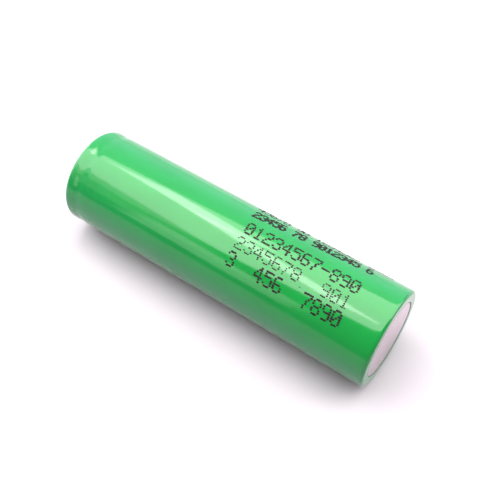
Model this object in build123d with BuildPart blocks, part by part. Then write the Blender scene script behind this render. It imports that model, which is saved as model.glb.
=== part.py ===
"""A cylindrical lithium-ion cell lying on its side, built piece by piece, in millimetres.

The cell's axis is X: the flat negative end faces +X and the positive contact faces -X.
The origin is the middle of the cell on its axis. Most pieces are turned from a section drawn
in (station, radius), where the station is the distance from the plane of the negative end.
The wound sheets are drawn across the axis and extruded along it.
"""

import math
import os

from build123d import *

# Overall size of the finished cell
cell_length = 64.85
cell_diameter = 18.33

# Heat-shrunk sleeve
sleeve_wall = 0.10
sleeve_corner = 0.55
sleeve_shoulder = 0.80
sleeve_dip = 0.08
negative_lip = 2.065
positive_lip = 2.365

# Deep-drawn can
can_wall = 0.22
can_floor = 0.30
can_corner = 0.55
land_rise = 0.03
land_gap = 0.10
bead_depth = 1.45
bead_width = 1.00
bead_mouth_radius = 0.80
bead_root_radius = 0.45
crimp_corner = 0.70
crimp_lip = 2.065

# Pieces of the header
contact_stand = 0.45
washer_wall = 0.25
washer_width = 2.665
gasket_wall = 0.45
gasket_flange = 1.945
gasket_lip = 2.245
cap_wall = 0.40
cap_flange = 2.895
cap_flank = 1.10
cap_bend = 0.25
window_count = 4
window_sweep = 52
vent_rim = 0.30
vent_membrane = 0.15
vent_boss_diameter = 2.0
vent_score_inset = 0.70
vent_score_depth = 0.07
vent_clearance = 0.12
cid_ring_wall = 0.45
cid_ring_width = 1.90
cid_skirt_wall = 0.40
cid_plate_wall = 0.40
cid_plate_bore = 3.0
gas_hole_count = 6
gas_hole_diameter = 1.5
gas_hole_inset = 2.50
sub_plate_diameter = 5.6
sub_plate_wall = 0.20
contact_disc_diameter = 2.2
tear_score = 0.03
ring_clearance = 0.10

# Wound roll
cathode_wall = 0.16
anode_wall = 0.17
separator_wall = 0.025
core_diameter = 4.0
roll_clearance = 0.12
separator_overhang = 0.6
anode_overhang = 0.5
closing_tape_wall = 0.05

# Tabs, tapes, discs and the pin in the core
tab_wall = 0.10
tape_wall = 0.03
cathode_tab_width = 4.0
inner_tab_width = 3.0
outer_tab_width = 4.0
tab_grip = 45.0
tab_margin = 0.6
tab_tail = 1.5
disc_wall = 0.25
disc_clearance = 0.05
upper_disc_bore = 3.0
lower_disc_bore = 5.0
roll_head_gap = 0.45
roll_foot_gap = 0.10
pin_diameter = 3.2
pin_wall = 0.30
pin_slit = 0.40
pin_taper = 0.45
pin_taper_length = 1.2
pin_gap = 0.8

# Radii that follow from the sizes above
sleeve_radius = cell_diameter / 2
can_radius = sleeve_radius - sleeve_wall
cavity_radius = can_radius - can_wall
crimp_bore_radius = can_radius - crimp_lip
header_radius = cavity_radius - gasket_wall
flange_bore_radius = cavity_radius - gasket_flange
cap_foot_radius = header_radius - cap_flange
cap_face_radius = cap_foot_radius - cap_flank
cid_ring_radius = flange_bore_radius - ring_clearance
cid_bore_radius = cid_ring_radius - cid_ring_width
cid_plate_radius = cid_ring_radius - cid_skirt_wall
dish_radius = cid_bore_radius - ring_clearance
boss_radius = vent_boss_diameter / 2

# Stations, from the negative end to the positive contact
can_foot = sleeve_wall
floor = can_foot + can_floor
cap_face = cell_length
lip_face = cap_face - contact_stand
washer_face = lip_face - sleeve_wall
crimp_face = washer_face - washer_wall
pocket_head = crimp_face - can_wall
flange_face = pocket_head - gasket_wall
vent_face = flange_face - cap_wall
vent_base = vent_face - vent_rim
pocket_foot = vent_base - gasket_wall
bead_head = pocket_foot - can_wall
bead_foot = bead_head - bead_width
cid_plate_face = vent_base - cid_ring_wall
sub_plate_face = cid_plate_face - cid_plate_wall
cathode_tab_face = sub_plate_face - sub_plate_wall
upper_disc_face = bead_foot - can_wall
roll_head = upper_disc_face - disc_wall - roll_head_gap
lower_disc_base = floor + 2 * tab_wall + disc_clearance
roll_foot = lower_disc_base + disc_wall + roll_foot_gap
roll_height = roll_head - roll_foot

# The wound stack, as depths outwards from the inner separator's inner face
anode_depth = separator_wall
outer_separator_depth = anode_depth + anode_wall
cathode_depth = outer_separator_depth + separator_wall
pitch = cathode_depth + cathode_wall
anode_foil = anode_wall - tab_wall - tape_wall
cathode_foil = cathode_wall - tab_wall - tape_wall
tape_depth = cathode_depth + closing_tape_wall
roll_room = cavity_radius - roll_clearance - pitch / 4 - tape_depth - core_diameter / 2
half_turns = 1 + int(roll_room / (pitch / 2))

section = Plane(origin=(cell_length / 2, 0, 0), x_dir=(-1, 0, 0), z_dir=(0, 0, 1))


def across(station):
    """The plane square to the axis at a station, facing the positive end."""
    return Plane(origin=(cell_length / 2 - station, 0, 0), x_dir=(0, -1, 0), z_dir=(-1, 0, 0))


def turned(points, radii):
    """A closed (station, radius) outline with a rounding at each corner."""
    with BuildSketch() as outline:
        with BuildLine():
            FilletPolyline(*points, radius=radii, close=True)
        make_face()
    return outline.sketch


def band(first, last, inner, outer):
    """A rectangle in the section, between two stations and two radii."""
    return turned([(first, inner), (last, inner), (last, outer), (first, outer)], [0, 0, 0, 0])


def sector(inner, outer, middle, sweep):
    """Part of a ring about the axis, centred on an angle."""
    with BuildSketch() as outline:
        with BuildLine():
            inside = CenterArc((0, 0), inner, middle - sweep / 2, sweep)
            outside = CenterArc((0, 0), outer, middle - sweep / 2, sweep)
            Line(inside @ 0, outside @ 0)
            Line(inside @ 1, outside @ 1)
        make_face()
    return outline.sketch


def half_turn_radius(half, depth):
    """Radius of one half turn of the winding at a depth in the stack."""
    return core_diameter / 2 + half * pitch / 2 + depth


def half_turn_centre(half):
    """Half turns are struck from two centres in turn, so that they meet tangentially."""
    return pitch / 4 if half % 2 else -pitch / 4


def winding(start, stop, inside, outside):
    """A wound layer across the axis, between two winding angles and two depths in the stack."""
    with BuildSketch() as layer:
        with BuildLine():
            ends = []
            for depth in (inside, outside):
                angle = start
                while angle < stop:
                    half = int(angle // 180)
                    reach = min(stop, 180 * (half + 1))
                    centre = (half_turn_centre(half), 0)
                    arc = CenterArc(centre, half_turn_radius(half, depth), angle % 360, reach - angle)
                    if angle == start:
                        ends.append(arc @ 0)
                    angle = reach
                ends.append(arc @ 1)
            Line(ends[0], ends[2])
            Line(ends[1], ends[3])
        make_face()
    return layer.sketch


def write(part, name):
    """Labels a finished piece and writes it."""
    part.label = name
    export_step(part, f"parts/{name}.step")


os.makedirs("parts", exist_ok=True)


# Sleeve: a tube shrunk over the can, turned in over both ends and sagging into the bead


def sleeve_outline(inset):
    """The sleeve's filled outline, pulled in by a wall."""
    side = sleeve_radius - inset
    dip_start = bead_foot - bead_mouth_radius
    dip_end = bead_head + bead_mouth_radius
    dip_middle = (dip_start + dip_end) / 2
    quarter = (dip_end - dip_start) / 4
    with BuildSketch() as outline:
        with BuildLine():
            foot = FilletPolyline(
                (inset, 0), (inset, side), (dip_start, side), radius=sleeve_corner - inset
            )
            fall = TangentArc(foot @ 1, (dip_start + quarter, side - sleeve_dip / 2), tangent=(1, 0))
            trough = TangentArc(fall @ 1, (dip_middle, side - sleeve_dip), tangent=fall % 1)
            rise = TangentArc(
                trough @ 1, (dip_end - quarter, side - sleeve_dip / 2), tangent=trough % 1
            )
            crest = TangentArc(rise @ 1, (dip_end, side), tangent=rise % 1)
            FilletPolyline(
                crest @ 1, (lip_face - inset, side), (lip_face - inset, 0),
                radius=sleeve_shoulder - inset,
            )
            Line((lip_face - inset, 0), (inset, 0))
        make_face()
    return outline.sketch


with BuildPart() as sleeve:
    with BuildSketch(section):
        add(sleeve_outline(0))
        add(sleeve_outline(sleeve_wall), mode=Mode.SUBTRACT)
        add(band(0, sleeve_wall, 0, sleeve_radius - negative_lip), mode=Mode.SUBTRACT)
        add(band(washer_face, lip_face, 0, sleeve_radius - positive_lip), mode=Mode.SUBTRACT)
    revolve(axis=Axis.X)
write(sleeve.part, "sleeve")


# Can: one drawn cup with a coined contact land, a rolled bead and a crimped mouth


def can_outline(inset, foot, mouth):
    """The can's filled outline, pulled in by a wall, from its foot to the end of its mouth."""
    side = can_radius - inset
    root = side - bead_depth
    corner = can_corner - inset
    bend = bead_mouth_radius - inset
    hollow = bead_root_radius + inset
    points = [
        (foot, 0),
        (foot, side),
        (bead_foot - inset, side),
        (bead_foot - inset, root),
        (bead_head + inset, root),
        (bead_head + inset, side),
        (crimp_face - inset, side),
        (crimp_face - inset, crimp_bore_radius),
        (mouth, crimp_bore_radius),
        (mouth, 0),
    ]
    radii = [0, corner, bend, hollow, hollow, bend, crimp_corner - inset, 0, 0, 0]
    return turned(points, radii)


with BuildPart() as can:
    with BuildSketch(section):
        add(can_outline(0, can_foot, crimp_face + can_wall))
        add(can_outline(can_wall, floor, crimp_face + 2 * can_wall), mode=Mode.SUBTRACT)
    revolve(axis=Axis.X)
    with BuildSketch(across(can_foot - land_rise)):
        Circle(sleeve_radius - negative_lip - land_gap)
    extrude(amount=land_rise)
write(can.part, "can")


# Header: ring, cap, vent and interrupter, sealed into the crimp by the gasket

with BuildPart() as insulator_ring:
    with BuildSketch(across(crimp_face)):
        Circle(can_radius - crimp_corner)
        Circle(can_radius - crimp_corner - washer_width, mode=Mode.SUBTRACT)
    extrude(amount=washer_wall)
write(insulator_ring.part, "positive_insulator_ring")

with BuildPart() as gasket:
    with BuildSketch(section):
        add(can_outline(can_wall, floor, crimp_face))
        add(
            band(pocket_foot, pocket_head, cavity_radius - gasket_lip, cavity_radius),
            mode=Mode.INTERSECT,
        )
        add(band(pocket_foot, vent_base, 0, flange_bore_radius), mode=Mode.SUBTRACT)
        add(band(vent_base, flange_face, 0, header_radius), mode=Mode.SUBTRACT)
    revolve(axis=Axis.X)
write(gasket.part, "gasket")

with BuildPart() as top_cap:
    with BuildSketch(section):
        add(
            turned(
                [
                    (cap_face, 0),
                    (cap_face, cap_face_radius),
                    (flange_face, cap_foot_radius),
                    (flange_face, header_radius),
                    (vent_face, header_radius),
                    (vent_face, cap_foot_radius),
                    (cap_face - cap_wall, cap_face_radius),
                    (cap_face - cap_wall, 0),
                ],
                [0, cap_bend, cap_bend, 0, 0, cap_bend, cap_bend, 0],
            )
        )
    revolve(axis=Axis.X)
    with BuildSketch(across(vent_face)):
        for n in range(window_count):
            add(sector(cap_face_radius, cap_foot_radius, (n + 0.5) * 360 / window_count, window_sweep))
    extrude(amount=cap_face - vent_face, mode=Mode.SUBTRACT)
write(top_cap.part, "top_cap")

boss_shoulder = boss_radius + 2 * vent_membrane
dish_base = cid_plate_face + vent_clearance
dish_fall = (vent_base - dish_base) / (dish_radius - vent_membrane - boss_shoulder)
score_radius = dish_radius - vent_score_inset
score_station = vent_base + vent_membrane - dish_fall * (vent_score_inset - vent_membrane)
with BuildPart() as safety_vent:
    with BuildSketch(section):
        add(
            turned(
                [
                    (vent_face, header_radius),
                    (vent_face, dish_radius),
                    (vent_base + vent_membrane, dish_radius - vent_membrane),
                    (dish_base + vent_membrane, boss_shoulder),
                    (sub_plate_face + vent_membrane, boss_radius - vent_membrane),
                    (sub_plate_face + vent_membrane, 0),
                    (sub_plate_face, 0),
                    (sub_plate_face, boss_radius),
                    (dish_base, boss_shoulder),
                    (vent_base, dish_radius - vent_membrane),
                    (vent_base, header_radius),
                ],
                [0] * 11,
            )
        )
        with BuildLine():
            Polyline(
                (score_station + vent_score_depth, score_radius - 2 * vent_score_depth),
                (score_station - vent_score_depth, score_radius),
                (score_station + vent_score_depth, score_radius + 2 * vent_score_depth),
                close=True,
            )
        make_face(mode=Mode.SUBTRACT)
    revolve(axis=Axis.X)
write(safety_vent.part, "safety_vent")

with BuildPart() as cid_insulator:
    with BuildSketch(section):
        add(band(cid_plate_face, vent_base, cid_bore_radius, cid_ring_radius))
        add(band(sub_plate_face, cid_plate_face, cid_plate_radius, cid_ring_radius))
    revolve(axis=Axis.X)
write(cid_insulator.part, "cid_insulator")

with BuildPart() as cid_plate:
    with BuildSketch(across(sub_plate_face)):
        Circle(cid_plate_radius)
        Circle(cid_plate_bore / 2, mode=Mode.SUBTRACT)
        with PolarLocations(cid_plate_radius - gas_hole_inset, gas_hole_count):
            Circle(gas_hole_diameter / 2, mode=Mode.SUBTRACT)
    extrude(amount=cid_plate_wall)
write(cid_plate.part, "cid_plate")

with BuildPart() as sub_plate:
    with BuildSketch(across(cathode_tab_face)):
        Circle(sub_plate_diameter / 2)
        Circle(contact_disc_diameter / 2 + tear_score, mode=Mode.SUBTRACT)
    extrude(amount=sub_plate_wall)
write(sub_plate.part, "sub_plate")

with BuildPart() as contact_disc:
    with BuildSketch(across(cathode_tab_face)):
        Circle(contact_disc_diameter / 2)
    extrude(amount=sub_plate_wall)
write(contact_disc.part, "contact_disc")


# Wound roll: inner separator, anode, outer separator and cathode, from the core outwards

last = half_turns - 1
sheet_end = 180 * half_turns
anode_start = 180
anode_stop = 180 * last
cathode_start = 3 * 180
cathode_stop = 180 * (half_turns - 3)
tab_half = 2 * (half_turns // 4)


def tab_span(half, depth, width):
    """The winding angles between which a tab lies, in the middle of a half turn."""
    spread = math.degrees(width / 2 / half_turn_radius(half, depth))
    middle = 180 * half + 90
    return middle - spread, middle + spread


inner_tab_depth = anode_depth + anode_foil
cathode_tab_depth = cathode_depth + cathode_foil
inner_span = tab_span(0, inner_tab_depth, inner_tab_width)
outer_span = tab_span(last, inner_tab_depth, outer_tab_width)
cathode_span = tab_span(tab_half, cathode_tab_depth, cathode_tab_width)
inner_bare = tab_span(0, inner_tab_depth, inner_tab_width + 2 * tab_margin)
outer_bare = tab_span(last, inner_tab_depth, outer_tab_width + 2 * tab_margin)
cathode_bare = tab_span(tab_half, cathode_tab_depth, cathode_tab_width + 2 * tab_margin)

anode_height = roll_height - 2 * separator_overhang
cathode_height = anode_height - 2 * anode_overhang
anode_foot = roll_foot + separator_overhang
cathode_foot = anode_foot + anode_overhang

separator_depths = {"separator_inner": 0, "separator_outer": outer_separator_depth}
for name, depth in separator_depths.items():
    with BuildPart() as separator:
        with BuildSketch(across(roll_foot)):
            add(winding(0, sheet_end, depth, depth + separator_wall))
        extrude(amount=roll_height)
    write(separator.part, name)

with BuildPart() as anode_sheet:
    with BuildSketch(across(anode_foot)):
        add(winding(anode_start, anode_stop, anode_depth, outer_separator_depth))
        add(winding(inner_bare[0], anode_start, anode_depth, anode_depth + anode_foil))
        add(winding(anode_stop, outer_bare[1], anode_depth, anode_depth + anode_foil))
    extrude(amount=anode_height)
write(anode_sheet.part, "anode_sheet")

with BuildPart() as cathode_sheet:
    with BuildSketch(across(cathode_foot)):
        add(winding(cathode_start, cathode_stop, cathode_depth, pitch))
        add(winding(*cathode_bare, cathode_tab_depth, pitch), mode=Mode.SUBTRACT)
    extrude(amount=cathode_height)
write(cathode_sheet.part, "cathode_sheet")

with BuildPart() as closing_tape:
    with BuildSketch(across(anode_foot)):
        add(winding(180 * (last - 1), sheet_end, cathode_depth, tape_depth))
    extrude(amount=anode_height)
write(closing_tape.part, "roll_closing_tape")


# Tabs: each has a leg wound into the roll and a foot bent flat towards the axis


def tab_foot(half, depth, width, tail):
    """A flat foot from the leg's outer face towards the axis and a tail past it, or short of it."""
    reach = half_turn_radius(half, depth + tab_wall)
    facing = -1 if half % 2 else 1
    centre = half_turn_centre(half)
    with BuildSketch() as outline:
        with Locations((centre, facing * (reach - tail) / 2)):
            Rectangle(width, reach + tail)
        with Locations((centre, 0)):
            Circle(reach, mode=Mode.INTERSECT)
    return outline.sketch


inner_tab_face = floor + tab_wall
with BuildPart() as inner_tab:
    with BuildSketch(across(inner_tab_face)):
        add(winding(*inner_span, inner_tab_depth, inner_tab_depth + tab_wall))
    extrude(amount=tab_grip)
    with BuildSketch(across(inner_tab_face)):
        add(tab_foot(0, inner_tab_depth, inner_tab_width, tab_tail))
    extrude(amount=tab_wall)
write(inner_tab.part, "anode_tab_inner")

with BuildPart() as outer_tab:
    with BuildSketch(across(floor)):
        add(winding(*outer_span, inner_tab_depth, inner_tab_depth + tab_wall))
    extrude(amount=tab_grip)
    with BuildSketch(across(floor)):
        add(tab_foot(last, inner_tab_depth, outer_tab_width, tab_tail))
    extrude(amount=tab_wall)
write(outer_tab.part, "anode_tab_outer")

cathode_tab_foot = cathode_tab_face - tab_wall
with BuildPart() as cathode_tab:
    with BuildSketch(across(roll_head - tab_grip)):
        add(winding(*cathode_span, cathode_tab_depth, cathode_tab_depth + tab_wall))
    extrude(amount=cathode_tab_face - roll_head + tab_grip)
    with BuildSketch(across(cathode_tab_foot)):
        add(tab_foot(tab_half, cathode_tab_depth, cathode_tab_width, -tab_tail))
    extrude(amount=tab_wall)
write(cathode_tab.part, "cathode_tab")

tapes = {
    "anode_tab_tape_inner": (inner_span, inner_tab_depth + tab_wall, anode_foot, anode_height),
    "anode_tab_tape_outer": (outer_span, inner_tab_depth + tab_wall, anode_foot, anode_height),
    "cathode_tab_tape": (cathode_span, cathode_tab_depth + tab_wall, cathode_foot, cathode_height),
}
for name, (span, depth, foot, height) in tapes.items():
    with BuildPart() as tape:
        with BuildSketch(across(foot)):
            add(winding(*span, depth, depth + tape_wall))
        extrude(amount=height)
    write(tape.part, name)


# Discs at the roll's two ends, and the slit pin in its core

tab_inner_radius = half_turn_radius(tab_half, cathode_tab_depth)
slot_sweep = math.degrees((cathode_tab_width + 2 * tab_margin) / tab_inner_radius)
upper_disc_radius = cavity_radius - (bead_mouth_radius - can_wall) - disc_clearance
with BuildPart() as upper_disc:
    with BuildSketch(across(upper_disc_face - disc_wall)):
        Circle(upper_disc_radius)
        Circle(upper_disc_bore / 2, mode=Mode.SUBTRACT)
        for n in range(3):
            add(
                sector(
                    tab_inner_radius - tab_margin,
                    tab_inner_radius + tab_wall + tab_margin,
                    90 + 120 * n,
                    slot_sweep,
                ),
                mode=Mode.SUBTRACT,
            )
    extrude(amount=disc_wall)
write(upper_disc.part, "upper_insulator_disc")

with BuildPart() as lower_disc:
    with BuildSketch(across(lower_disc_base)):
        Circle(half_turn_radius(last, inner_tab_depth) - ring_clearance - pitch / 4)
        Circle(lower_disc_bore / 2, mode=Mode.SUBTRACT)
    extrude(amount=disc_wall)
write(lower_disc.part, "lower_insulator_disc")

pin_radius = pin_diameter / 2
pin_foot = roll_foot + pin_gap
pin_head = roll_head - pin_gap
with BuildPart() as centre_pin:
    with BuildSketch(section):
        with BuildLine():
            Polyline(
                (pin_foot, pin_radius - pin_taper - pin_wall),
                (pin_foot, pin_radius - pin_taper),
                (pin_foot + pin_taper_length, pin_radius),
                (pin_head - pin_taper_length, pin_radius),
                (pin_head, pin_radius - pin_taper),
                (pin_head, pin_radius - pin_taper - pin_wall),
                (pin_head - pin_taper_length, pin_radius - pin_wall),
                (pin_foot + pin_taper_length, pin_radius - pin_wall),
                close=True,
            )
        make_face()
    revolve(axis=Axis.X)
    with BuildSketch(across(pin_foot)):
        with Locations((0, -pin_radius / 2)):
            Rectangle(pin_slit, pin_radius)
    extrude(amount=pin_head - pin_foot, mode=Mode.SUBTRACT)
write(centre_pin.part, "centre_pin")
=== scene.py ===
"""The visual model of a cylindrical cell in a green shrink sleeve, lying on its side.

Lengths are in metres in the CAD frame: the axis is X, with the flat negative end, the foot, at +X
and the positive end, the head, at -X. A place on the barrel is given as a station, measured from
the plane of the foot, and an angle round the axis, measured from the top towards -Y.
"""

import math
import random

import bmesh
import bpy
from mathutils import Matrix, Vector, noise


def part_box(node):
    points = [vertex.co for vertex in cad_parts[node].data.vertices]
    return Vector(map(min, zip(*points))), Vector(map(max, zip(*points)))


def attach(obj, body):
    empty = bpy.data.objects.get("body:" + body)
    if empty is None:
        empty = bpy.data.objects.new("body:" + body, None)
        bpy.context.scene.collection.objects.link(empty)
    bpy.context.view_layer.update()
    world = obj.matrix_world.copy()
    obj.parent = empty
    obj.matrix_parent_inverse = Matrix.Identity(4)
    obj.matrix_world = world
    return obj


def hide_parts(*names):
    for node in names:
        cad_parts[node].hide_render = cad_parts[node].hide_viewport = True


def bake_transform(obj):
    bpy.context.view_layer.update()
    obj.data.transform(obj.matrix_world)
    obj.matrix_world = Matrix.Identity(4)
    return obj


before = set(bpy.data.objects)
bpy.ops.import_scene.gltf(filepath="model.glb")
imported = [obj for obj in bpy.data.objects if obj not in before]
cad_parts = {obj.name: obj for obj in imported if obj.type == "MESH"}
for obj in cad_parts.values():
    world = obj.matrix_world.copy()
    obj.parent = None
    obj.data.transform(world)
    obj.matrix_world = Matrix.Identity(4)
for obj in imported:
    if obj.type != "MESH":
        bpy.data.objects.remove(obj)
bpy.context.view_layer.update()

MM = 0.001
seed = random.Random(18)

# Sizes read from the frame
sleeve_low, sleeve_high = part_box("sleeve")
sleeve_radius = sleeve_high[2]
foot_x = sleeve_high[0]
head_face = sleeve_high[0] - sleeve_low[0]
floor_height = sleeve_low[2]

# The shrink sleeve
film_corner = 0.55 * MM
film_shoulder = 0.80 * MM
foot_lip_radius = 7.10 * MM
head_lip_radius = 6.80 * MM
film_inset = 0.034 * MM
film_thickness = 0.07 * MM
film_facets = 224

# The film's sag over the bead
dip_middle = head_face - 2.89 * MM
dip_reach = 1.45 * MM
dip_depth = 0.07 * MM
dip_unevenness = 0.35
dip_wander = 0.10 * MM

# The film's slow waves, lay-flat creases (in degrees) and gathers at the lips
film_wave = 0.016 * MM
waves_along = 0.09
crease_angles = (52, 232)
crease_width = 4.0
crease_height = 0.006 * MM
gather_height = 0.07 * MM
gather_sink = 0.012 * MM

# Where round-the-cell noise is read, so that no two features share it
dip_phase = 7.0
foot_phase = 2.0
head_phase = 5.0
sink_phase = 13.0

# Meshes
merge_distance = 0.001 * MM
sharp_angle = math.radians(30)


# Shapes


def on_axis(station, radius, angle=0.0):
    """The point at a station, radius and angle, in degrees from the top towards -Y."""
    turn = math.radians(angle)
    return Vector((foot_x - station, -radius * math.sin(turn), radius * math.cos(turn)))


def arc(middle, radius, first, last, steps):
    """Points (station, radius) on an arc, with the angle measured from the station axis."""
    points = []
    for n in range(steps + 1):
        turn = math.radians(first + (last - first) * n / steps)
        points.append((middle[0] + radius * math.cos(turn), middle[1] + radius * math.sin(turn)))
    return points


def run(first, last, steps):
    """Evenly spaced points between two (station, radius) points, without the first."""
    points = []
    for n in range(1, steps + 1):
        share = n / steps
        points.append(tuple(a + (b - a) * share for a, b in zip(first, last)))
    return points


def turned(profile, steps):
    """A bmesh turned about the axis from (station, radius) points."""
    shape = bmesh.new()
    verts = [shape.verts.new(on_axis(station, radius)) for station, radius in profile]
    edges = [shape.edges.new(pair) for pair in zip(verts, verts[1:])]
    bmesh.ops.spin(
        shape,
        geom=verts + edges,
        axis=(1, 0, 0),
        cent=(0, 0, 0),
        angle=math.tau,
        steps=steps,
        use_merge=True,
    )
    bmesh.ops.remove_doubles(shape, verts=shape.verts, dist=merge_distance)
    bmesh.ops.recalc_face_normals(shape, faces=shape.faces)
    return shape


def placed(vertex):
    """A vertex as (station, radius, angle)."""
    x, y, z = vertex.co
    return foot_x - x, math.hypot(y, z), math.degrees(math.atan2(-y, z))


def finished(shape, name, finish):
    """Makes a piece from a bmesh and gives it its finish."""
    mesh = bpy.data.meshes.new(name)
    shape.to_mesh(mesh)
    shape.free()
    for face in mesh.polygons:
        face.use_smooth = True
    mesh.set_sharp_from_angle(angle=sharp_angle)
    mesh.materials.append(finish)
    piece = bpy.data.objects.new(name, mesh)
    bpy.context.scene.collection.objects.link(piece)
    return piece

# Finishes


class Finish:
    """A material with one Principled shader, and short ways to add detail to it."""

    def __init__(self, name, colour, roughness, metallic=0.0):
        self.material = bpy.data.materials.new(name)
        self.material.use_nodes = True
        self.tree = self.material.node_tree
        self.shader = self.tree.nodes["Principled BSDF"]
        self.place = self.tree.nodes.new("ShaderNodeTexCoord").outputs["Object"]
        self.shader.inputs["Base Color"].default_value = (*colour, 1)
        self.shader.inputs["Roughness"].default_value = roughness
        self.shader.inputs["Metallic"].default_value = metallic
        self.bump = None

    def node(self, kind, **settings):
        """A node with its sockets and settings set by name."""
        made = self.tree.nodes.new(kind)
        for key, value in settings.items():
            if key in made.inputs:
                made.inputs[key].default_value = value
            else:
                setattr(made, key, value)
        return made

    def link(self, output, target):
        """Joins an output to an input."""
        self.tree.links.new(output, target)

    def stretched(self, scale):
        """Object coordinates, scaled along each axis."""
        mapping = self.node("ShaderNodeMapping")
        mapping.inputs["Scale"].default_value = scale
        self.link(self.place, mapping.inputs["Vector"])
        return mapping.outputs["Vector"]

    def cloud(self, scale, detail=3.0, stretch=(1, 1, 1)):
        """Noise with that many blotches to the metre."""
        made = self.node("ShaderNodeTexNoise", Scale=scale, Detail=detail)
        self.link(self.stretched(stretch), made.inputs["Vector"])
        return made.outputs["Fac"]

    def from_axis(self):
        """The distance from the cell's axis."""
        made = self.node("ShaderNodeVectorMath", operation="LENGTH")
        self.link(self.stretched((0, 1, 1)), made.inputs[0])
        return made.outputs["Value"]

    def ranged(self, value, low, high, first=0.0, last=1.0):
        """Maps a value from low..high to first..last, held at both ends."""
        made = self.node("ShaderNodeMapRange")
        made.inputs["From Min"].default_value = low
        made.inputs["From Max"].default_value = high
        made.inputs["To Min"].default_value = first
        made.inputs["To Max"].default_value = last
        self.link(value, made.inputs["Value"])
        return made.outputs["Result"]

    def mixed(self, value, first):
        """A mix that starts from one colour: the input for its other colour, and its output."""
        made = self.node("ShaderNodeMix", data_type="RGBA")
        start, end = [socket for socket in made.inputs if socket.type == "RGBA"]
        start.default_value = (*first, 1)
        self.link(value, made.inputs["Factor"])
        return end, next(socket for socket in made.outputs if socket.type == "RGBA")

    def tint(self, value, first, last):
        """Base colour that goes from one colour to another with a value."""
        end, colour = self.mixed(value, first)
        end.default_value = (*last, 1)
        self.link(colour, self.shader.inputs["Base Color"])
        return colour

    def blended(self, value, first, last):
        """A colour that goes from a given one to a worked-out one with a value."""
        end, colour = self.mixed(value, first)
        self.link(last, end)
        return colour

    def shaded(self, colour, amount):
        """Base colour that is a worked-out colour times an amount."""
        shade = self.node("ShaderNodeVectorMath", operation="SCALE")
        self.link(colour, shade.inputs[0])
        self.link(amount, shade.inputs["Scale"])
        self.link(shade.outputs["Vector"], self.shader.inputs["Base Color"])

    def rough(self, value, low, high, first, last):
        """Roughness that goes from first to last as a value goes from low to high."""
        self.link(self.ranged(value, low, high, first, last), self.shader.inputs["Roughness"])

    def relief(self, value, height, strength=1.0):
        """Adds a bump of a height in metres."""
        made = self.node("ShaderNodeBump", Strength=strength, Distance=height)
        self.link(value, made.inputs["Height"])
        if self.bump:
            self.link(self.bump.outputs["Normal"], made.inputs["Normal"])
        self.bump = made
        self.link(made.outputs["Normal"], self.shader.inputs["Normal"])


def shrunk_film():
    """Glossy green film, paler at the thin lip, with faint mottling, flow lines and scuffs."""
    face_on = (0.0043, 0.163, 0.0266)
    edge_on = (0.0090, 0.160, 0.0500)
    pale_lip = (0.070, 0.240, 0.110)
    lip_ends = sleeve_radius - 0.85 * MM
    barrel_starts = sleeve_radius - 0.45 * MM
    green = Finish("shrunk_film", (0.010, 0.21, 0.045), roughness=0.45)
    green.shader.inputs["Specular IOR Level"].default_value = 0.0
    green.shader.inputs["Coat Weight"].default_value = 1.0
    green.shader.inputs["Coat Roughness"].default_value = 0.11
    green.shader.inputs["Coat IOR"].default_value = 1.45
    facing = green.node("ShaderNodeLayerWeight", Blend=0.5).outputs["Facing"]
    barrel = green.tint(green.ranged(facing, 0.12, 0.50), face_on, edge_on)
    colour = green.blended(green.ranged(green.from_axis(), lip_ends, barrel_starts), pale_lip, barrel)
    mottle = green.cloud(260, detail=4, stretch=(0.35, 1, 1))
    green.shaded(colour, green.ranged(mottle, 0.3, 0.7, 0.94, 1.06))
    scuffs = green.cloud(2600, detail=2, stretch=(0.05, 1, 1))
    green.rough(scuffs, 0.45, 0.7, 0.40, 0.50)
    green.relief(green.cloud(420, detail=2, stretch=(0.25, 1, 1)), height=0.020 * MM, strength=0.75)
    green.relief(green.cloud(5200, detail=2), height=0.0012 * MM, strength=0.5)
    green.link(green.bump.outputs["Normal"], green.shader.inputs["Coat Normal"])
    return green.material


def film_edge_painted_shade():
    """The film's cut edge, painted dark grey as shade in the gap at the lip, with a faint random mottle.
    """
    # Painted shade: the edge is dark grey to stand for the shadow in the gap between the lip and the can
    edge = Finish("film_edge_painted_shade", (0.030, 0.028, 0.030), roughness=0.7)
    edge_mottle = edge.ranged(edge.cloud(2400, detail=2), 0.35, 0.65)
    edge.tint(edge_mottle, (0.018, 0.017, 0.018), (0.045, 0.040, 0.043))
    return edge.material


def jet_ink():
    """Black ink, dried slightly matt with brown-grey thin spots."""
    ink = Finish("jet_ink", (0.006, 0.005, 0.006), roughness=0.6)
    ink.shader.inputs["Specular IOR Level"].default_value = 0.15
    thin_spots = ink.ranged(ink.cloud(3200, detail=2), 0.35, 0.75)
    ink.tint(thin_spots, (0.003, 0.003, 0.003), (0.012, 0.009, 0.009))
    return ink.material

def nickel_plate():
    """Satin nickel on drawn steel, a little warm, with fine draw lines and a ring of painted shade just
    inside the lip.
    """
    painted_shade_starts = foot_lip_radius - 0.16 * MM
    painted_shade_ends = foot_lip_radius - 0.08 * MM
    painted_shade_level = 0.06
    nickel = Finish("nickel_plate", (0.80, 0.71, 0.75), roughness=0.34, metallic=1.0)
    haze = nickel.cloud(420, detail=4)
    colour = nickel.tint(nickel.ranged(haze, 0.3, 0.7), (0.570, 0.480, 0.522), (0.616, 0.525, 0.565))
    # Painted shade: the metal is darkened in a thin ring just inside the sleeve's lip, standing for the
    # shadow in the gap there
    nickel.shaded(colour, nickel.ranged(nickel.from_axis(), painted_shade_starts, painted_shade_ends, 1.0, painted_shade_level))
    lines = nickel.cloud(14000, detail=2, stretch=(1, 1, 0.03))
    nickel.rough(lines, 0.3, 0.7, 0.29, 0.39)
    nickel.relief(lines, height=0.0006 * MM, strength=0.5)
    nickel.relief(nickel.cloud(900, detail=3), height=0.004 * MM, strength=0.5)
    return nickel.material


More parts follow.
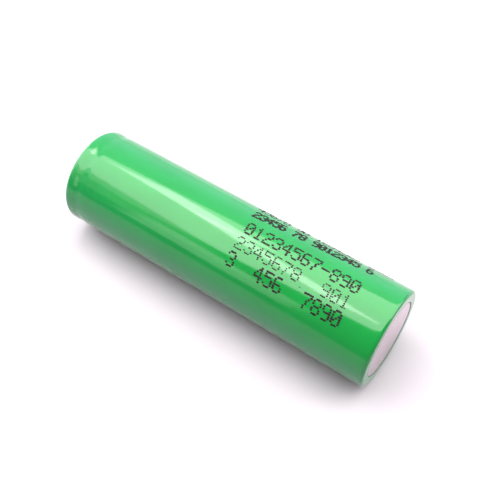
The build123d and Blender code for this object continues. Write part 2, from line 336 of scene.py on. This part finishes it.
def stamped_aluminium():
    """Soft sheet with rolling lines and a bright, slightly cloudy face."""
    sheet = Finish("stamped_aluminium", (0.85, 0.86, 0.87), roughness=0.30, metallic=1.0)
    lines = sheet.cloud(7000, detail=2, stretch=(1, 0.05, 1))
    sheet.rough(lines, 0.3, 0.7, 0.24, 0.42)
    sheet.tint(sheet.ranged(sheet.cloud(700), 0.3, 0.7), (0.80, 0.81, 0.83), (0.88, 0.89, 0.90))
    sheet.relief(lines, height=0.002 * MM, strength=0.7)
    return sheet.material


def rolled_steel():
    """The core pin's strip, rolled lengthways."""
    strip = Finish("rolled_steel", (0.56, 0.56, 0.57), roughness=0.36, metallic=1.0)
    lines = strip.cloud(8000, detail=2, stretch=(0.04, 1, 1))
    strip.rough(lines, 0.3, 0.7, 0.28, 0.46)
    strip.tint(strip.ranged(strip.cloud(500), 0.3, 0.7), (0.50, 0.50, 0.52), (0.62, 0.62, 0.62))
    strip.relief(lines, height=0.002 * MM, strength=0.7)
    return strip.material


def pressed_paper():
    """White insulating board with short fibres."""
    board = Finish("pressed_paper", (0.48, 0.48, 0.46), roughness=0.85)
    fibres = board.cloud(5200, detail=4, stretch=(1, 1, 0.35))
    board.tint(board.ranged(fibres, 0.35, 0.65), (0.43, 0.43, 0.41), (0.52, 0.52, 0.50))
    board.rough(fibres, 0.3, 0.7, 0.78, 0.92)
    board.relief(fibres, height=0.006 * MM, strength=0.7)
    return board.material


def moulded_resin(name, colour, pale):
    """Milky moulded resin with a fine texture."""
    resin = Finish(name, colour, roughness=0.42)
    resin.shader.inputs["Subsurface Weight"].default_value = 0.15
    resin.shader.inputs["Subsurface Scale"].default_value = 0.3 * MM
    texture = resin.cloud(4200, detail=3)
    resin.tint(resin.ranged(resin.cloud(600), 0.3, 0.7), colour, pale)
    resin.rough(texture, 0.3, 0.7, 0.36, 0.50)
    resin.relief(texture, height=0.003 * MM, strength=0.6)
    return resin.material


def coated_foil(name, dark, light, sheen):
    """A calendered electrode coating: matt, with fine grains and faint lengthways streaks."""
    coat = Finish(name, dark, roughness=sheen)
    grains = coat.cloud(16000, detail=3)
    streaks = coat.cloud(1400, detail=2, stretch=(1, 0.05, 0.05))
    coat.tint(coat.ranged(grains, 0.35, 0.7), dark, light)
    coat.rough(streaks, 0.3, 0.7, sheen - 0.08, sheen + 0.08)
    coat.relief(grains, height=0.002 * MM, strength=0.8)
    return coat.material


def porous_film():
    """White separator film with stretch lines across the roll."""
    film = Finish("porous_film", (0.90, 0.90, 0.89), roughness=0.55)
    lines = film.cloud(5200, detail=2, stretch=(0.06, 1, 1))
    film.tint(film.ranged(lines, 0.3, 0.7), (0.84, 0.84, 0.83), (0.93, 0.93, 0.92))
    film.rough(lines, 0.3, 0.7, 0.46, 0.62)
    film.relief(lines, height=0.002 * MM, strength=0.6)
    return film.material


def bright_strip(name, colour, pale):
    """A rolled tab strip with lengthways polish lines."""
    strip = Finish(name, colour, roughness=0.26, metallic=1.0)
    lines = strip.cloud(9000, detail=2, stretch=(0.03, 1, 1))
    strip.tint(strip.ranged(strip.cloud(900), 0.3, 0.7), colour, pale)
    strip.rough(lines, 0.3, 0.7, 0.20, 0.36)
    strip.relief(lines, height=0.0015 * MM, strength=0.6)
    return strip.material


def tape_film(name, colour, deep):
    """Thin adhesive film with trapped pale spots."""
    tape = Finish(name, colour, roughness=0.22)
    tape.tint(tape.ranged(tape.cloud(900, detail=3), 0.3, 0.7), colour, deep)
    spots = tape.cloud(3600, detail=2)
    tape.rough(spots, 0.3, 0.7, 0.16, 0.32)
    tape.relief(spots, height=0.003 * MM, strength=0.5)
    return tape.material


def glass_cloth():
    """Resin-bonded glass cloth: a fine plain weave under a matt skin."""
    cloth = Finish("glass_cloth", (0.60, 0.55, 0.38), roughness=0.55)
    weave = cloth.node("ShaderNodeMath", operation="MULTIPLY")
    for direction, target in zip(("Y", "Z"), weave.inputs):
        threads = cloth.node("ShaderNodeTexWave", Scale=900.0, Distortion=1.5, bands_direction=direction)
        cloth.link(cloth.place, threads.inputs["Vector"])
        cloth.link(threads.outputs["Fac"], target)
    cloth.tint(weave.outputs["Value"], (0.50, 0.45, 0.30), (0.68, 0.64, 0.47))
    cloth.relief(weave.outputs["Value"], height=0.010 * MM, strength=0.6)
    return cloth.material


# The sleeve


def noise_round(along, reach, angle, finer=1):
    """Noise that comes back to its start after a full turn, changing faster with more reach."""
    turn = math.radians(angle)
    return noise.noise(Vector((along, reach * math.cos(turn), reach * math.sin(turn))) * finer)


def film_rise(station, angle):
    """How far the film stands off its true radius: slow waves and two faint lay-flat creases."""
    rise = film_wave * (1 + noise_round(station / MM * waves_along, 1.6, angle)) / 2
    for crease in crease_angles:
        away = (angle - crease + 180) % 360 - 180
        rise += crease_height * math.exp(-((away / crease_width) ** 2))
    return rise


def film_dip(station, angle):
    """How far the film sags where it crosses the bead, uneven round the cell."""
    shift = dip_wander * noise_round(dip_phase, 1.7, angle)
    away = (station - dip_middle - shift) / dip_reach
    if abs(away) >= 1:
        return 0.0
    depth = dip_depth * (1 + dip_unevenness * noise_round(dip_phase, 1.7, angle, finer=2))
    return depth * (1 + math.cos(math.pi * away)) / 2


def film_profile():
    """The film's outer face, from the lip at the foot to the lip at the head."""
    foot_corner = (film_corner, sleeve_radius - film_corner)
    head_corner = (head_face - film_shoulder, sleeve_radius - film_shoulder)
    dip_start = (dip_middle - dip_reach, sleeve_radius)
    dip_end = (dip_middle + dip_reach, sleeve_radius)
    profile = [(0, foot_lip_radius)]
    profile += run(profile[0], (0, foot_corner[1]), 8)[:-1]
    profile += arc(foot_corner, film_corner, 180, 90, 8)
    profile += run(profile[-1], dip_start, 64)
    profile += run(dip_start, dip_end, 24)
    profile += run(dip_end, (head_corner[0], sleeve_radius), 3)
    profile += arc(head_corner, film_shoulder, 90, 0, 10)[1:]
    profile += run(profile[-1], (head_face, head_lip_radius), 8)
    return profile


def pucker(angle, phase):
    """Gathers round a shrunk lip: slow ones and, from another part of the noise, quick ones."""
    return 0.7 * noise_round(phase, 2.2, angle) + 0.5 * noise_round(phase + 9, 9, angle)


def shape_film(shape):
    """Moves the turned film to its shrunk shape."""
    for vertex in shape.verts:
        station, radius, angle = placed(vertex)
        on_foot = station < film_corner and radius < sleeve_radius - film_corner
        on_head = station > head_face - film_shoulder and radius < sleeve_radius - film_shoulder
        if on_foot or on_head:
            edge = foot_lip_radius if on_foot else head_lip_radius
            outer = sleeve_radius - (film_corner if on_foot else film_shoulder)
            reach = (outer - radius) / (outer - edge)
            radius += gather_height * pucker(angle, foot_phase if on_foot else head_phase) * reach
            sink = gather_sink * (1 + pucker(angle, sink_phase)) * reach
            station += sink if on_foot else -sink
        else:
            radius += film_rise(station, angle) - film_dip(station, angle) - film_inset
        vertex.co = on_axis(station, radius, angle)


def make_sleeve(finish, shaded_edge_finish):
    """The shrunk film, with a wall that grows inwards and a dark grey painted-shade finish on its cut
    edges.
    """
    shape = turned(film_profile(), film_facets)
    shape_film(shape)
    sleeve = finished(shape, "shrink_sleeve", finish)
    sleeve.data.materials.append(shaded_edge_finish)
    wall = sleeve.modifiers.new("wall", "SOLIDIFY")
    wall.thickness = film_thickness
    wall.offset = -1
    # The rim takes the second finish, the dark grey painted shade on the cut edges
    wall.material_offset_rim = 1
    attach(sleeve, "cell")
    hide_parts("sleeve")


# The print: plain digits in drops of ink

digits = {
    "0": "01110 10001 10011 10101 11001 10001 01110",
    "1": "00100 01100 00100 00100 00100 00100 01110",
    "2": "01110 10001 00001 00110 01000 10000 11111",
    "3": "01110 10001 00001 00110 00001 10001 01110",
    "4": "00010 00110 01010 10010 11111 00010 00010",
    "5": "11111 10000 11110 00001 00001 10001 01110",
    "6": "01110 10000 10000 11110 10001 10001 01110",
    "7": "11111 00001 00010 00100 00100 01000 01000",
    "8": "01110 10001 10001 01110 10001 10001 01110",
    "9": "01110 10001 10001 01111 00001 00001 01110",
    "-": "00000 00000 00000 11111 00000 00000 00000",
}

# Each row: text, first station, angle of its top, pitch, width, height, drop diameter and slope,
# with lengths in millimetres and angles in degrees
print_rows = (
    ("45678 90 1234567 8901", 30.6, -50.0, 1.28, 1.00, 2.10, 0.34, -0.067),
    ("23456 78 9012345 6", 30.0, -31.0, 1.28, 0.95, 1.85, 0.46, -0.067),
    ("01234567-890", 29.15, -8.1, 1.87, 1.30, 2.25, 0.40, 0.0),
    ("2345678  901", 29.1, 12.4, 1.87, 1.30, 2.10, 0.30, 0.0),
    ("3  456  7890", 29.1, 30.9, 1.87, 1.30, 2.40, 0.41, 0.0),
)
# Each stray drop: station in millimetres, angle in degrees, diameter in millimetres
stray_drops = ((15.5, 28.8, 0.20), (13.2, 36.0, 0.15), (31.6, 19.0, 0.09), (20.3, 56.0, 0.08))
drop_rows = 7
drop_columns = 5
drop_sides = 9
drop_top_share = 0.8
drop_stretch = 1.2
drop_lift = 0.006 * MM
drop_height = 0.004 * MM
drop_size_range = (0.85, 1.1)
row_jitter = 0.025
figure_slant = 0.08


def add_drop(shape, station, angle, diameter):
    """A small flat drop of ink on the film, a little longer than wide."""
    radius = sleeve_radius - film_inset + film_rise(station, angle) + drop_lift
    place = Matrix.Translation(on_axis(station, radius, angle))
    tilt = Matrix.Rotation(math.radians(angle), 4, "X")
    bmesh.ops.create_cone(
        shape,
        cap_ends=True,
        segments=drop_sides,
        radius1=diameter / 2,
        radius2=diameter / 2 * drop_top_share,
        depth=drop_height,
        matrix=place @ tilt @ Matrix.Scale(drop_stretch, 4, (1, 0, 0)),
    )


def figure_drops(figure):
    """The row and column of each drop in a figure, of which a space has none."""
    for down, line in enumerate(digits.get(figure, "").split()):
        for along, mark in enumerate(line):
            if mark == "1":
                yield down, along


def add_row(shape, text, start, top, pitch, width, height, drop, slope):
    """A row of figures that reads towards the foot."""
    for column, figure in enumerate(text):
        for down, along in figure_drops(figure):
            fall = height * down / (drop_rows - 1)
            travel = column * pitch + width * along / (drop_columns - 1) + figure_slant * fall
            station = (start - travel + seed.uniform(-row_jitter, row_jitter)) * MM
            arc_down = fall + slope * travel + seed.uniform(-row_jitter, row_jitter)
            angle = top + math.degrees(arc_down * MM / sleeve_radius)
            add_drop(shape, station, angle, drop * MM * seed.uniform(*drop_size_range))


def make_print(finish):
    """All the rows and stray drops, as one piece."""
    shape = bmesh.new()
    for row in print_rows:
        add_row(shape, *row)
    for station, angle, drop in stray_drops:
        add_drop(shape, station * MM, angle, drop * MM)
    marks = finished(shape, "printed_digits", finish)
    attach(marks, "cell")


# The safety vent, turned from its section

vent_low, vent_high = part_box("safety_vent")
vent_face = foot_x - vent_low[0]
vent_boss_end = foot_x - vent_high[0]
vent_radius = vent_high[2]
vent_rim = 0.30 * MM
vent_membrane = 0.15 * MM
vent_dish_radius = 4.80 * MM
vent_boss_radius = 1.00 * MM
vent_dish_depth = 0.33 * MM
vent_score_inset = 0.70 * MM
vent_score_depth = 0.07 * MM
vent_facets = 96


def vent_profile():
    """The vent's closed section: its outer face from rim to axis, then its inner face back."""
    base = vent_face - vent_rim
    dish = base - vent_dish_depth
    shoulder = vent_boss_radius + 2 * vent_membrane
    brink = vent_dish_radius - vent_membrane
    fall = vent_dish_depth / (brink - shoulder)
    score_radius = vent_dish_radius - vent_score_inset
    score = base + vent_membrane - fall * (brink - score_radius)
    width = 2 * vent_score_depth
    boss = vent_boss_end
    profile = [(vent_face, vent_radius), (vent_face, vent_dish_radius), (base + vent_membrane, brink)]
    profile += [(score + fall * width, score_radius + width)]
    profile += [(score - vent_score_depth, score_radius)]
    profile += [(score - fall * width, score_radius - width)]
    profile += run(profile[-1], (dish + vent_membrane, shoulder), 5)
    profile += run(profile[-1], (boss + vent_membrane, vent_boss_radius - vent_membrane), 3)
    profile += [(boss + vent_membrane, 0), (boss, 0), (boss, vent_boss_radius)]
    profile += run(profile[-1], (dish, shoulder), 3)
    profile += run(profile[-1], (base, brink), 6)
    profile += [(base, vent_radius), (vent_face, vent_radius)]
    return profile


def make_vent(finish):
    """The vent, turned from its section, in place of the CAD vent."""
    vent = finished(turned(vent_profile(), vent_facets), "vent_diaphragm", finish)
    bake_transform(vent)
    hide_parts("safety_vent")


# Assembly

make_sleeve(shrunk_film(), film_edge_painted_shade())
make_print(jet_ink())

nickel = nickel_plate()
aluminium = stamped_aluminium()
make_vent(aluminium)
nickel_strip = bright_strip("nickel_strip", (0.66, 0.62, 0.56), (0.74, 0.70, 0.64))
amber_tape = tape_film("amber_tape", (0.62, 0.30, 0.04), (0.50, 0.20, 0.02))
laminate = glass_cloth()
separator = porous_film()
node_finishes = {
    "can": nickel,
    "top_cap": nickel,
    "positive_insulator_ring": pressed_paper(),
    "gasket": moulded_resin("gasket_resin", (0.72, 0.76, 0.80), (0.82, 0.85, 0.88)),
    "cid_plate": aluminium,
    "sub_plate": aluminium,
    "contact_disc": aluminium,
    "cid_insulator": moulded_resin("insulator_resin", (0.66, 0.66, 0.60), (0.74, 0.74, 0.69)),
    "upper_insulator_disc": laminate,
    "lower_insulator_disc": laminate,
    "centre_pin": rolled_steel(),
    "cathode_sheet": coated_foil("cathode_coating", (0.018, 0.018, 0.020), (0.045, 0.045, 0.048), 0.60),
    "anode_sheet": coated_foil("anode_coating", (0.055, 0.055, 0.060), (0.10, 0.10, 0.105), 0.52),
    "separator_inner": separator,
    "separator_outer": separator,
    "cathode_tab": bright_strip("aluminium_strip", (0.80, 0.81, 0.84), (0.88, 0.89, 0.91)),
    "anode_tab_inner": nickel_strip,
    "anode_tab_outer": nickel_strip,
    "cathode_tab_tape": amber_tape,
    "anode_tab_tape_inner": amber_tape,
    "anode_tab_tape_outer": amber_tape,
    "roll_closing_tape": tape_film("closing_tape", (0.06, 0.30, 0.15), (0.04, 0.22, 0.11)),
}
for name, finish in node_finishes.items():
    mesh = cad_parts[name].data
    mesh.materials.clear()
    mesh.materials.append(finish)


# Studio: the camera looks down at the cell, and lights are placed along and across its view

table_reach = 1.5
azimuth = math.radians(34.7)
elevation = math.radians(53.9)
camera_reach = 144.4 * MM
aim_right = 3.33 * MM
aim_up = 0.05 * MM
sensor_width = 36
focal_length = 57.6
nearest_seen = 1 * MM
right = Vector((math.cos(azimuth), math.sin(azimuth), 0))
away = Vector((-math.sin(azimuth), math.cos(azimuth), 0))
ahead = Vector((
    -math.sin(azimuth) * math.cos(elevation),
    math.cos(azimuth) * math.cos(elevation),
    -math.sin(elevation),
))
above = right.cross(ahead)


def pale_surface():
    """A smooth white table with the faintest cloudiness."""
    white = Finish("pale_table", (0.370, 0.345, 0.366), roughness=0.60)
    white.shader.inputs["Specular IOR Level"].default_value = 0.2
    white.tint(white.ranged(white.cloud(9), 0.3, 0.7), (0.366, 0.342, 0.363), (0.372, 0.348, 0.369))
    white.relief(white.cloud(1800, detail=2), height=0.004 * MM, strength=0.3)
    return white.material


def make_table():
    """The table that the cell lies on."""
    shape = bmesh.new()
    bmesh.ops.create_grid(shape, x_segments=2, y_segments=2, size=table_reach)
    bmesh.ops.translate(shape, verts=shape.verts, vec=(0, 0, floor_height))
    finished(shape, "table_top", pale_surface())


def make_camera():
    """The camera, aimed a little to the right of the cell's middle."""
    lens = bpy.data.cameras.new("camera")
    lens.sensor_width = sensor_width
    lens.lens = focal_length
    lens.clip_start = nearest_seen
    camera = bpy.data.objects.new("camera", lens)
    camera.location = aim_right * right + aim_up * above - camera_reach * ahead
    camera.rotation_euler = ahead.to_track_quat("-Z", "Y").to_euler()
    bpy.context.scene.collection.objects.link(camera)
    bpy.context.scene.camera = camera


def make_room():
    """An even, faintly violet light from all round."""
    room = bpy.data.worlds.new("room")
    bpy.context.scene.world = room
    room.use_nodes = True
    backdrop = room.node_tree.nodes["Background"]
    backdrop.inputs["Color"].default_value = (0.96, 0.92, 1.0, 1)
    backdrop.inputs["Strength"].default_value = 0.25


def overhead(along, across, height):
    """A place over the cell, along and across the view."""
    return along * right + across * away + Vector((0, 0, height))


def softbox(name, place, size, brightness, target=None, colour=(1, 1, 1), turn=0.0):
    """A flat light of a size and brightness, facing a target or straight down, turned on its axis."""
    lamp = bpy.data.lights.new(name, "AREA")
    lamp.shape = "RECTANGLE"
    lamp.size, lamp.size_y = size
    lamp.energy = math.pi * size[0] * size[1] * brightness
    lamp.color = colour
    holder = bpy.data.objects.new(name, lamp)
    if target is None:
        target = (place[0], place[1], 0)
    facing = (Vector(target) - Vector(place)).to_track_quat("-Z", "Y")
    holder.rotation_euler = (facing.to_matrix() @ Matrix.Rotation(turn, 3, "Z")).to_euler()
    holder.location = place
    bpy.context.scene.collection.objects.link(holder)


def make_lights():
    """Two boxes and two short tubes over the cell, and cards round it."""
    warm_white = (1, 0.99, 0.985)
    cool_white = (0.97, 0.98, 1.0)
    box_turn = azimuth + 0.08
    main_place = overhead(0.0075, 0.049, 0.300)
    softbox("overhead_softbox", main_place, (0.665, 0.335), 6.0, colour=warm_white, turn=box_turn)
    end_place = overhead(-0.380, 0.015, 0.300)
    softbox("overhead_softbox_end", end_place, (0.110, 0.335), 2.2, turn=box_turn)
    far_tube = (-0.142, 0.060, 0.295)
    softbox("overhead_tube_far", far_tube, (0.088, 0.080), 8.2, turn=math.radians(-30))
    near_tube = (-0.076, -0.028, 0.290)
    softbox("overhead_tube_near", near_tube, (0.15, 0.045), 7.9, turn=math.radians(-52))
    far_place = overhead(-0.05, 0.80, 0.42)
    softbox("far_card", far_place, (2.4, 0.95), 1.2, target=(0, 0, 0.10), colour=cool_white)
    softbox("side_card", (-0.25, -0.60, 0.235), (0.19, 0.26), 2.0, target=(0, 0, 0))
    softbox("camera_side_card", (-0.42, -0.50, 0.300), (0.46, 0.36), 0.8)
    softbox("left_card", (-0.80, -0.04, 0.30), (0.8, 0.6), 5.5, target=(0, 0, 0))
    softbox("right_card", (0.34, 0.26, 0.22), (0.35, 0.30), 5.0, target=(0.03, 0, 0))


make_table()
make_camera()
make_room()
make_lights()
bpy.context.scene.view_settings.view_transform = "Standard"
